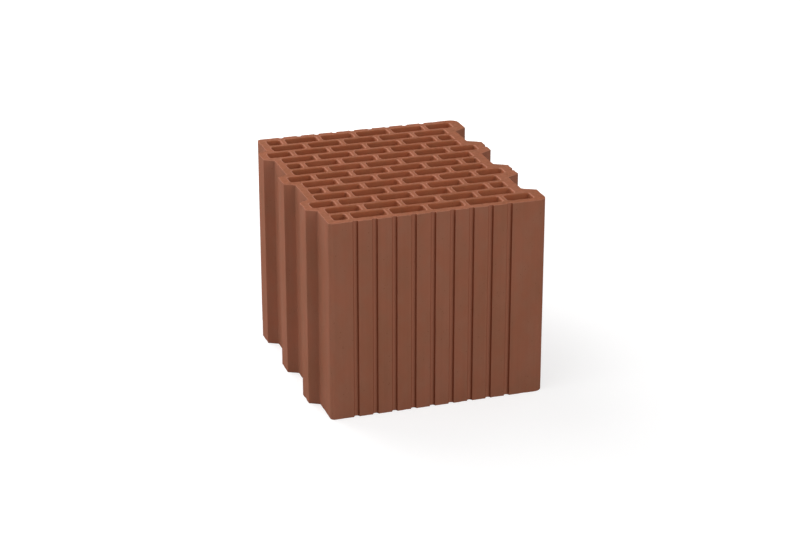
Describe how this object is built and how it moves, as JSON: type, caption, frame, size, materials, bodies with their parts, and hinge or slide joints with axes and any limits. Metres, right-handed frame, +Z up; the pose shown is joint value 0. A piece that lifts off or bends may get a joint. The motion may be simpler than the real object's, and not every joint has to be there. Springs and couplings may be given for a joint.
{
  "type": "hollow clay block",
  "caption": "Large fired clay wall block with staggered upright cells, grooved plaster faces and interlocking tongues and recesses on its two ends.",
  "frame": {"origin": "middle of the bounding box of the underside, on the floor the block stands on", "axes": "+Z up along the cells, -Y out of the front plaster face, -X out of the tongue side"},
  "size_m": [0.2616, 0.3, 0.23],
  "materials": {
    "fired_clay": "matte"
  },
  "bodies": {
    "root": {"clay_block": "fired_clay"}
  },
  "joints": []
}
